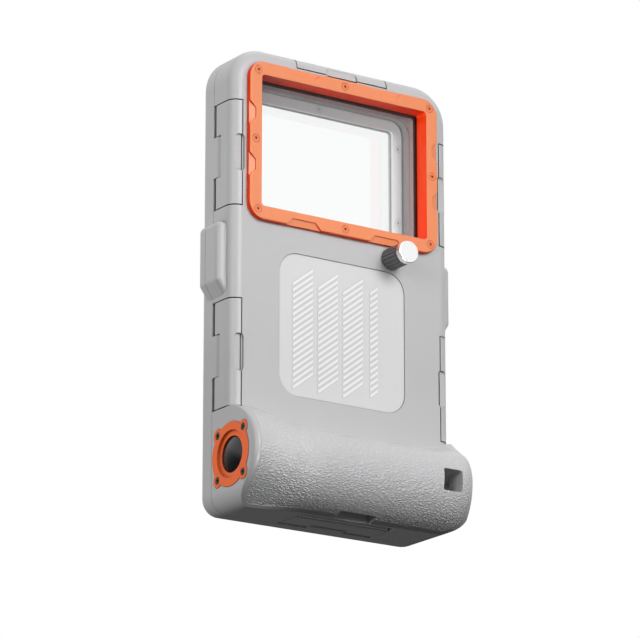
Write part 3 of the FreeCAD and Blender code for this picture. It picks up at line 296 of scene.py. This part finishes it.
# Film clamp with its flush nylon screws, and the bay lid: ABS moulded near white, which keeps the
# dry space bright behind the window, and dark grey for the lid, which hides handling marks.
clamp_abs = moulded("moulded_clamp_abs", "#F2F2F3", "#EEEEEF", "#F6F6F7", rough=(0.4, 0.5), seam_shade=0.4)
dress(clamp_abs, "film_clamp", "clamp_screws")
dress(moulded("moulded_dark_abs", "#4A4A4C", "#424244", "#5A5A5C"), "bay_lid")

# Grip skin: soft PVC with a leather grain pressed into it by an embossing roll, let into the grip's
# core. The pebbles are about 1.1 by 2.3 mm, longer across the case, with shallow wavy creases
# between them that only show where the light comes in low.
pebbles_per_metre = 880.0
pebble_stretch = (0.5, 1.0, 1.0)
wrinkles_per_metre = 560.0
warps_per_metre = 600.0
warp_reach = 0.0011
crease_depth = 0.00018
leather, tree, shader, place = new_material("embossed_leathercloth")
warp = add(tree, "ShaderNodeTexNoise", None,
           {"Vector": place, "Scale": warps_per_metre, "Detail": 2.0})
shifted = add(tree, "ShaderNodeVectorMath", {"operation": "MULTIPLY_ADD"},
              {0: warp.outputs["Color"], 1: (warp_reach, warp_reach, warp_reach), 2: place})
stretched = add(tree, "ShaderNodeMapping", None,
                {"Vector": shifted.outputs["Vector"], "Scale": pebble_stretch})
cells = add(tree, "ShaderNodeTexVoronoi", {"feature": "DISTANCE_TO_EDGE"},
            {"Vector": stretched.outputs["Vector"], "Scale": pebbles_per_metre})
wrinkle = add(tree, "ShaderNodeTexNoise", None,
              {"Vector": stretched.outputs["Vector"], "Scale": wrinkles_per_metre, "Detail": 3.0,
               "Distortion": 1.0})
pebble = add(tree, "ShaderNodeMapRange", {"interpolation_type": "SMOOTHSTEP"},
             {"Value": cells.outputs["Distance"], "From Min": 0.0, "From Max": 0.32})
relief = add(tree, "ShaderNodeMath", {"operation": "MULTIPLY_ADD"},
             {0: wrinkle.outputs["Fac"], 1: 0.9, 2: pebble.outputs["Result"]})
# Painted shade: the creases between the pebbles are coloured darker than the pebbles' crowns.
tone = add(tree, "ShaderNodeMix", {"data_type": "RGBA"},
           {"Factor": pebble.outputs["Result"], "A": linear("#C4C4C6"), "B": linear("#CECECF")})
tree.links.new(tone.outputs["Result"], shader.inputs["Base Color"])
bump = add(tree, "ShaderNodeBump", None,
           {"Height": relief.outputs["Value"], "Distance": crease_depth, "Strength": 0.75})
tree.links.new(bump.outputs["Normal"], shader.inputs["Normal"])
fill(shader, Roughness=0.42, IOR=1.5, Specular_IOR_Level=0.55)
dress(leather, "grip_skin")

# Shutter button and knob sleeve: moulded nylon. The button is jet black and glossy from thumbs; the
# sleeve's dry fluted skin scatters more light, so it reads as dark grey.
button_nylon = moulded("polished_black_nylon", "#1D1B1C", "#171516", "#3A3839", rough=(0.16, 0.26))
dress(button_nylon, "shutter_button")
sleeve_nylon = moulded("moulded_black_nylon", "#666668", "#5A5A5C", "#88888A", rough=(0.3, 0.42))
dress(sleeve_nylon, "knob_sleeve")

# Knob cap, screws, pins, stem and coin cell: turned aluminium and stainless steel, with fine tool
# marks that blur what they mirror. The bezel's screws are blackened against glare.

def turned_metal(name, tone_hex, rough, marks_per_metre):
    """Machined metal with fine tool marks."""
    material, tree, shader, place = new_material(name)
    marks = add(tree, "ShaderNodeTexNoise", None,
                {"Vector": place, "Scale": marks_per_metre, "Detail": 2.0})
    shine = add(tree, "ShaderNodeMapRange", None,
                {"Value": marks.outputs["Fac"], "To Min": rough - 0.05, "To Max": rough + 0.07})
    tree.links.new(shine.outputs["Result"], shader.inputs["Roughness"])
    eased = add(tree, "ShaderNodeBevel", {"samples": 4}, {"Radius": 0.00015})
    bump = add(tree, "ShaderNodeBump", None,
               {"Height": marks.outputs["Fac"], "Distance": 0.000006, "Strength": 0.5,
                "Normal": eased.outputs["Normal"]})
    tree.links.new(bump.outputs["Normal"], shader.inputs["Normal"])
    fill(shader, Base_Color=linear(tone_hex), Metallic=1.0)
    return material


dress(turned_metal("turned_aluminium", "#E4E5E6", 0.22, 2600.0), "knob_cap")
steel = turned_metal("stainless_steel", "#B9BABD", 0.3, 2200.0)
dress(steel, "bay_screws", "vent_stem", "remote_cell", *("pin_" + spot for spot in latch_spots))
dress(turned_metal("blackened_steel", "#6E6A68", 0.3, 2200.0), "shutter_screws")

# Shutter spring: stainless wire, cold wound into a coil, the same as the solid's. It stays seated
# on its pocket's floor.
dress(steel, "shutter_spring")
coil_mesh = node["shutter_spring"].data.copy()
merge_distance = 0.000001
merged = bmesh.new()
merged.from_mesh(coil_mesh)
bmesh.ops.remove_doubles(merged, verts=merged.verts[:], dist=merge_distance)
merged.to_mesh(coil_mesh)
merged.free()
coil = stand("shutter_coil", coil_mesh)
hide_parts("shutter_spring")
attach(coil, "housing")
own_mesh(coil)

# Window seal, cover gasket, button seal and vent seal: moulded silicone rubber, greased to keep
# water out, dull black with a little bloom.
silicone = moulded("silicone_rubber", "#1C1C1D", "#151516", "#262627", grain=0.0006, rough=(0.6, 0.75),
                   edge=0.0002)
dress(silicone, "window_seal", "cover_gasket", "shutter_seal", "vent_seal")

# Foam rest and side pads: closed-cell EVA, cut with a hot wire and glued to the wall. The free
# edges and corners draw in a little under the heat; the skin shows the cells as fine pits.
cells_per_metre = 1500.0
stains_per_metre = 160.0
pit_depth = 0.00012
foam_cuts = 15
edge_sharpness = 6
foam, tree, shader, place = new_material("closed_cell_eva")
bubbles = add(tree, "ShaderNodeTexVoronoi", None, {"Vector": place, "Scale": cells_per_metre})
cloud = add(tree, "ShaderNodeTexNoise", None, {"Vector": place, "Scale": stains_per_metre, "Detail": 2.0})
pits = add(tree, "ShaderNodeMapRange", {"interpolation_type": "SMOOTHSTEP"},
           {"Value": bubbles.outputs["Distance"], "From Min": 0.05, "From Max": 0.5})
tone = add(tree, "ShaderNodeMix", {"data_type": "RGBA"},
           {"Factor": cloud.outputs["Fac"], "A": linear("#242426"), "B": linear("#333335")})
tree.links.new(tone.outputs["Result"], shader.inputs["Base Color"])
bump = add(tree, "ShaderNodeBump", None,
           {"Height": pits.outputs["Result"], "Distance": pit_depth, "Strength": 0.8})
tree.links.new(bump.outputs["Normal"], shader.inputs["Normal"])
fill(shader, Roughness=0.86, IOR=1.45)


def foam_block(cad_name, glued_axis, glued_side, draw):
    """Closed foam block in a CAD node's space, drawn in at its edges, flat where it is glued."""
    low, high = (Vector(corner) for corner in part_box(cad_name))
    middle = (low + high) / 2
    half = (high - low) / 2
    form = bmesh.new()
    bmesh.ops.create_cube(form, size=2.0)
    bmesh.ops.subdivide_edges(form, edges=form.edges[:], cuts=foam_cuts, use_grid_fill=True)
    for vertex in form.verts:
        spot = vertex.co.copy()
        for axis in range(3):
            near_edge = max(abs(spot[other]) for other in range(3) if other != axis)
            pull = draw * near_edge ** edge_sharpness
            if axis == glued_axis and spot[axis] * glued_side > 0.99:
                pull = 0.0
            vertex.co[axis] = middle[axis] + spot[axis] * (half[axis] - pull)
    mesh = bpy.data.meshes.new(cad_name + "_foam")
    form.to_mesh(mesh)
    form.free()
    mesh.materials.append(foam)
    for face in mesh.polygons:
        face.use_smooth = True
    piece = stand(cad_name + "_foam", mesh)
    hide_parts(cad_name)
    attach(piece, "housing")


foam_block("phone_pad_right", 0, 1, 0.000525)
foam_block("phone_pad_left", 0, -1, 0.000525)
foam_block("phone_rest", 2, -1, 0.0009)

# Remote board: glass-fibre laminate cut by a router, under sprayed green solder mask, which lies
# smooth and a little shiny over the weave.
dress(moulded("solder_mask", "#1E6B3B", "#175A31", "#3E8B5B", rough=(0.25, 0.35)), "remote_board")

# Floor: a pale painted sheet that only a camera above it sees, so that the base is lit as if the
# housing hung in the air.
floor_half = 3.0
floor_drop = 0.0004
grit_per_metre = 30.0
floor_mesh = bpy.data.meshes.new("floor")
floor_mesh.from_pydata([(x * floor_half, y * floor_half, -floor_drop)
                        for x, y in ((-1, -1), (1, -1), (1, 1), (-1, 1))], [], [(0, 1, 2, 3)])
floor = stand("floor", floor_mesh)
floor_paint, tree, shader, place = new_material("pale_floor_paint")
grit = add(tree, "ShaderNodeTexNoise", None, {"Vector": place, "Scale": grit_per_metre})
shade = add(tree, "ShaderNodeMix", {"data_type": "RGBA"},
            {"Factor": grit.outputs["Fac"], "A": linear("#E4E4E4"), "B": linear("#E8E8E8")})
tree.links.new(shade.outputs["Result"], shader.inputs["Base Color"])
fill(shader, Roughness=0.9)
below = add(tree, "ShaderNodeNewGeometry")
nothing = add(tree, "ShaderNodeBsdfTransparent")
sided = add(tree, "ShaderNodeMixShader", None,
            {0: below.outputs["Backfacing"], 1: shader.outputs["BSDF"], 2: nothing.outputs["BSDF"]})
tree.links.new(sided.outputs["Shader"], tree.nodes["Material Output"].inputs["Surface"])
floor_mesh.materials.append(floor_paint)
for ray in ("diffuse", "glossy", "transmission", "volume_scatter", "shadow"):
    setattr(floor, "visible_" + ray, False)

# Studio: white all round for the camera and through the glass, a big white card in front and above
# for the reflections, and a softer sky for the light on the object.
world = bpy.data.worlds.new("studio")
bpy.context.scene.world = world
world.use_nodes = True
tree = world.node_tree
rays = add(tree, "ShaderNodeLightPath")
sharp = add(tree, "ShaderNodeMath", {"operation": "MAXIMUM"},
            {0: rays.outputs["Is Camera Ray"], 1: rays.outputs["Is Transmission Ray"]})
direction = add(tree, "ShaderNodeTexCoord").outputs["Generated"]
leaning = add(tree, "ShaderNodeVectorMath", {"operation": "DOT_PRODUCT"},
              {0: direction, 1: (0.0, -0.5, 1.0)})
card = add(tree, "ShaderNodeMapRange", {"interpolation_type": "SMOOTHSTEP"},
           {"Value": leaning.outputs["Value"], "From Min": -0.2, "From Max": 0.1})
card_seen = add(tree, "ShaderNodeMath", {"operation": "MULTIPLY"},
                {0: rays.outputs["Is Glossy Ray"], 1: card.outputs["Result"]})
seen = add(tree, "ShaderNodeMath", {"operation": "MAXIMUM"},
           {0: sharp.outputs["Value"], 1: card_seen.outputs["Value"]})
up = add(tree, "ShaderNodeSeparateXYZ", None, {0: direction})
dome = add(tree, "ShaderNodeMapRange", {"interpolation_type": "SMOOTHSTEP"},
           {"Value": up.outputs["Z"], "From Min": -0.1, "From Max": 0.5, "To Min": 0.05, "To Max": 0.5})
strength = add(tree, "ShaderNodeMix", {"data_type": "FLOAT"},
               {"Factor": seen.outputs["Value"], "A": dome.outputs["Result"], "B": 1.0})
background = tree.nodes["Background"]
background.inputs["Color"].default_value = linear("#FFFFFF")
tree.links.new(strength.outputs["Result"], background.inputs["Strength"])


def aimed(name, light, place, aim, mirrored):
    """Puts a light at a place, pointed at a spot on the object."""
    made = stand(name, light)
    made.location = place
    made.rotation_euler = (Vector(aim) - Vector(place)).to_track_quat("-Z", "Y").to_euler()
    made.visible_glossy = mirrored
    return made


def lamp(name, place, aim, size, watts, mirrored=True):
    """Square soft light."""
    light = bpy.data.lights.new(name, "AREA")
    light.size = size
    light.energy = watts
    return aimed(name, light, place, aim, mirrored)


def snoot(name, place, aim, width, watts):
    """Soft round lamp narrowed to a disc of the given width where it is pointed."""
    light = bpy.data.lights.new(name, "SPOT")
    light.energy = watts
    light.spot_size = 2 * math.atan(width / 2 / (Vector(aim) - Vector(place)).length)
    light.spot_blend = 1.0
    light.shadow_soft_size = 0.06
    return aimed(name, light, place, aim, mirrored=False)


lamp("key", (0.25, -2.0, 0.9), (0, 0, 0.1), 0.9, 27.0)
lamp("fill", (-1.9, -1.2, 0.4), (0, 0, 0.12), 0.7, 13.0)
lamp("back", (-0.9, 2.0, -0.25), (0, 0, 0.12), 1.0, 30.0, mirrored=False)
lamp("top", (0.3, 0.2, 2.0), (0, 0, 0.1), 1.2, 3.0)

# A low strip that only shows in reflections: it draws the sheen along the middle of the grip's roll.
strip = lamp("strip", (0.3, -2.0, -0.7), (0, 0, 0.03), 0.5, 34.0)
strip.visible_diffuse = False

# Two narrow lamps open up the dry space: one beside the camera, one from behind through the film.
snoot("snoot_front", (-1.2, -1.75, -0.42), (0.005, 0, 0.152), 0.18, 45.0)
snoot("snoot_back", (-0.7, 1.6, -0.5), (0.01, 0.01, 0.155), 0.10, 130.0)

# Camera: the photograph's, a long lens below and to the left of the housing, looking up. Its turn,
# rise and place were fitted to the corners of the shell, the window frame and the grip.
lens = bpy.data.cameras.new("photo_lens")
lens.lens = 225.0
lens.sensor_width = 36.0
lens.clip_end = 20.0
camera = stand("photo_camera", lens)
camera.location = (-0.9355, -1.3605, -0.4005)
turn, rise = math.radians(34.18), math.radians(16.57)
aim = Vector((math.sin(turn) * math.cos(rise), math.cos(turn) * math.cos(rise), math.sin(rise)))
camera.rotation_euler = aim.to_track_quat("-Z", "Y").to_euler()
bpy.context.scene.camera = camera
bpy.context.scene.view_settings.view_transform = "Standard"
